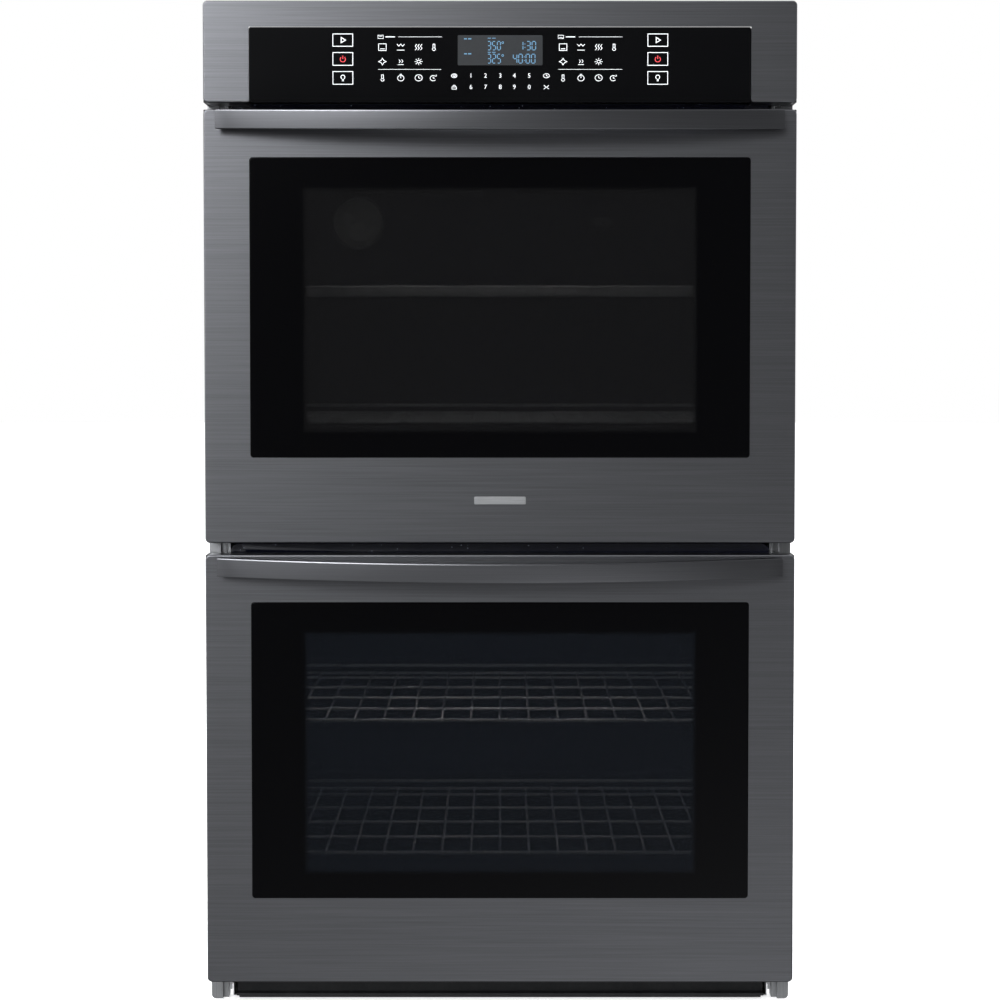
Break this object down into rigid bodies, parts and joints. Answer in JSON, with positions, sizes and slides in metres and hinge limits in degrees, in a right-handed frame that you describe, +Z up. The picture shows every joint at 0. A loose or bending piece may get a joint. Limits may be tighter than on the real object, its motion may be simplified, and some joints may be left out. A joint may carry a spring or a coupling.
{
  "type": "double wall oven",
  "caption": "Built-in double wall oven: stacked enamelled cavities behind drop-down windowed doors with bowed bar handles, under a touch-glass control panel.",
  "frame": {"origin": "centre of the bounding box's bottom face, on the surface that the skids stand on", "axes": "+Z up, the doors face -Y, +X to the right of someone facing the front"},
  "size_m": [0.756, 0.685, 1.294],
  "materials": {
    "black_stainless": "horizontally brushed black stainless",
    "grey_trim": "satin grey",
    "dark_trim": "satin dark grey",
    "galvanised": "zinc-coated sheet",
    "enamel": "glossy blue-black vitreous enamel with fine specks",
    "black_glass": "black printed glass",
    "clear_glass": "heat-resistant glass",
    "rack_wire": "bright plated wire",
    "mineral_wool": "matte fibre",
    "braided_seal": "woven glass-fibre braid",
    "heater": "oxidised heater sheath",
    "circuit_board": "solder-masked board",
    "dark_plastic": "moulded",
    "machined_steel": "plain steel"
  },
  "bodies": {
    "oven": {"base_pan": "galvanised", "side_panel_left": "galvanised", "side_panel_right": "galvanised", "back_cover": "galvanised", "top_cover": "galvanised", "mid_deck": "galvanised", "side_trim_left": "grey_trim", "side_trim_right": "grey_trim", "bottom_vent_trim": "dark_trim", "control_trim": "black_stainless", "control_glass": "black_glass", "control_housing": "galvanised", "display_module": "circuit_board", "relay_board": "circuit_board", "conduit_plate": "machined_steel", "blower_housing": "galvanised", "blower_motor": "dark_plastic", "upper_cavity": "enamel", "upper_insulation": "mineral_wool", "upper_broil_element": "heater", "upper_bake_element": "heater", "upper_gasket": "braided_seal", "upper_lamp_lens": "clear_glass", "upper_temperature_probe": "machined_steel", "upper_latch_motor": "galvanised", "upper_hinge_bracket_left": "machined_steel", "upper_hinge_bracket_right": "machined_steel", "lower_cavity": "enamel", "lower_insulation": "mineral_wool", "lower_broil_element": "heater", "lower_bake_element": "heater", "lower_gasket": "braided_seal", "lower_lamp_lens": "clear_glass", "lower_temperature_probe": "machined_steel", "lower_latch_motor": "galvanised", "lower_hinge_bracket_left": "machined_steel", "lower_hinge_bracket_right": "machined_steel"},
    "upper_door": {"upper_door_skin": "black_stainless", "upper_door_glass": "black_glass", "upper_inner_glass": "clear_glass", "upper_door_liner": "enamel", "upper_handle": "black_stainless", "upper_hinge_arm_left": "machined_steel", "upper_hinge_arm_right": "machined_steel"},
    "upper_rack_high": {"upper_rack_high": "rack_wire"},
    "upper_rack_low": {"upper_rack_low": "rack_wire"},
    "upper_latch": {"upper_latch_hook": "machined_steel"},
    "upper_switch": {"upper_door_switch": "dark_plastic"},
    "lower_door": {"lower_door_skin": "black_stainless", "lower_door_glass": "black_glass", "lower_inner_glass": "clear_glass", "lower_door_liner": "enamel", "lower_handle": "black_stainless", "lower_hinge_arm_left": "machined_steel", "lower_hinge_arm_right": "machined_steel"},
    "lower_rack_high": {"lower_rack_high": "rack_wire"},
    "lower_rack_low": {"lower_rack_low": "rack_wire"},
    "lower_latch": {"lower_latch_hook": "machined_steel"},
    "lower_switch": {"lower_door_switch": "dark_plastic"},
    "blower": {"blower_wheel": "dark_plastic"}
  },
  "joints": [
    {"name": "upper_door_hinge", "type": "hinge", "parent": "oven", "child": "upper_door", "pos_m": [0, -0.26, 0.6178], "axis": [1, 0, 0], "range_deg": [0, 90], "stiffness_Nm_per_rad": 15, "springref_deg": -17.19},
    {"name": "upper_rack_high_slide", "type": "slide", "parent": "oven", "child": "upper_rack_high", "axis": [0, -1, 0], "range_m": [0, 0.3]},
    {"name": "upper_rack_low_slide", "type": "slide", "parent": "oven", "child": "upper_rack_low", "axis": [0, -1, 0], "range_m": [0, 0.182]},
    {"name": "upper_switch_slide", "type": "slide", "parent": "oven", "child": "upper_switch", "axis": [0, -1, 0], "range_m": [0, 0.006]},
    {"name": "upper_latch_turn", "type": "hinge", "parent": "oven", "child": "upper_latch", "pos_m": [0, -0.2055, 1.1438], "axis": [0, 0, 1], "range_deg": [0, 20]},
    {"name": "lower_door_hinge", "type": "hinge", "parent": "oven", "child": "lower_door", "pos_m": [0, -0.26, 0.049], "axis": [1, 0, 0], "range_deg": [0, 90], "stiffness_Nm_per_rad": 15, "springref_deg": -17.19},
    {"name": "lower_rack_high_slide", "type": "slide", "parent": "oven", "child": "lower_rack_high", "axis": [0, -1, 0], "range_m": [0, 0.3]},
    {"name": "lower_rack_low_slide", "type": "slide", "parent": "oven", "child": "lower_rack_low", "axis": [0, -1, 0], "range_m": [0, 0.182]},
    {"name": "lower_switch_slide", "type": "slide", "parent": "oven", "child": "lower_switch", "axis": [0, -1, 0], "range_m": [0, 0.006]},
    {"name": "lower_latch_turn", "type": "hinge", "parent": "oven", "child": "lower_latch", "pos_m": [0, -0.2055, 0.575], "axis": [0, 0, 1], "range_deg": [0, 20]},
    {"name": "blower_spin", "type": "hinge", "parent": "oven", "child": "blower", "pos_m": [0, 0.13, 1.178], "axis": [0, 0, 1], "continuous": true}
  ],
  "couplings": [
    {"joint": "upper_rack_high_slide", "follows": "upper_door_hinge", "m_per_rad": 0.19},
    {"joint": "upper_rack_low_slide", "follows": "upper_door_hinge", "m_per_rad": 0.115},
    {"joint": "upper_switch_slide", "follows": "upper_door_hinge", "m_per_rad": 0.0038},
    {"joint": "lower_rack_high_slide", "follows": "lower_door_hinge", "m_per_rad": 0.19},
    {"joint": "lower_rack_low_slide", "follows": "lower_door_hinge", "m_per_rad": 0.115},
    {"joint": "lower_switch_slide", "follows": "lower_door_hinge", "m_per_rad": 0.0038}
  ]
}
